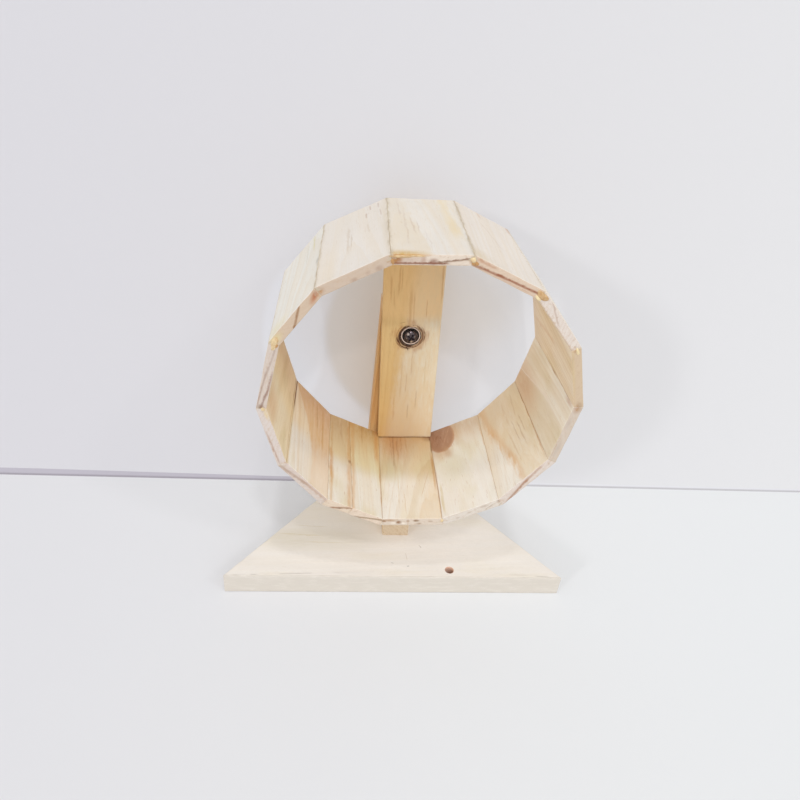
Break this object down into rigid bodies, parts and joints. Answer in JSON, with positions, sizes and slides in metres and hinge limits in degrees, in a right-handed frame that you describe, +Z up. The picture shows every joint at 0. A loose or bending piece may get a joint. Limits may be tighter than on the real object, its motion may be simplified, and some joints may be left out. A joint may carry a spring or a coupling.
{
  "type": "rodent exercise wheel",
  "caption": "Slatted pine running drum, open in front, carried by a ball bearing in its rear crossbar on a post and a tapered base board.",
  "frame": {"origin": "middle of the base board's underside, halfway between its front and back edges", "axes": "+X to the right seen from the drum's open front, +Y from the open front to the back along the axle, +Z up"},
  "size_m": [0.25, 0.1291, 0.2657],
  "materials": {
    "pale_pine": "sanded, unfinished pine",
    "warm_pine": "sanded, unfinished pine",
    "base_pine": "sanded, unfinished pine",
    "brace_pine": "sawn, unfinished pine",
    "glue": "set hot-melt glue",
    "bright_steel": "ground bearing steel",
    "black_steel": "black oxide",
    "zinc_steel": "zinc plated",
    "seal_rubber": "moulded rubber",
    "nylon": "moulded nylon"
  },
  "bodies": {
    "stand": {"base_board": "base_pine", "foot_brace": "brace_pine", "post": "warm_pine", "post_screws": "zinc_steel", "brace_screws": "zinc_steel", "bearing_inner_race": "bright_steel", "axle_bolt": "black_steel", "bearing_shims": "zinc_steel", "spacer_nut": "zinc_steel", "spacer_washer": "zinc_steel", "post_washer": "zinc_steel", "lock_nut": "zinc_steel", "lock_nut_ring": "nylon"},
    "drum": {"slat_01": "pale_pine", "slat_02": "pale_pine", "slat_03": "pale_pine", "slat_04": "pale_pine", "slat_05": "pale_pine", "slat_06": "pale_pine", "slat_07": "pale_pine", "slat_08": "pale_pine", "slat_09": "pale_pine", "slat_10": "pale_pine", "slat_11": "pale_pine", "slat_12": "pale_pine", "slat_13": "pale_pine", "slat_14": "pale_pine", "slat_15": "pale_pine", "glue_seams": "glue", "glue_beads": "glue", "crossbar": "warm_pine", "bearing_outer_race": "bright_steel", "bearing_seals": "seal_rubber"},
    "ball_set": {"bearing_balls": "bright_steel", "bearing_cage": "zinc_steel"}
  },
  "joints": [
    {"name": "drum_spin", "type": "hinge", "parent": "stand", "child": "drum", "pos_m": [0.00342, 0.035, 0.1675], "axis": [0, 1, 0], "continuous": true},
    {"name": "ball_set_spin", "type": "hinge", "parent": "stand", "child": "ball_set", "pos_m": [0.00342, 0.035, 0.1675], "axis": [0, 1, 0], "continuous": true}
  ],
  "couplings": [
    {"joint": "ball_set_spin", "follows": "drum_spin", "ratio": 0.6053}
  ]
}
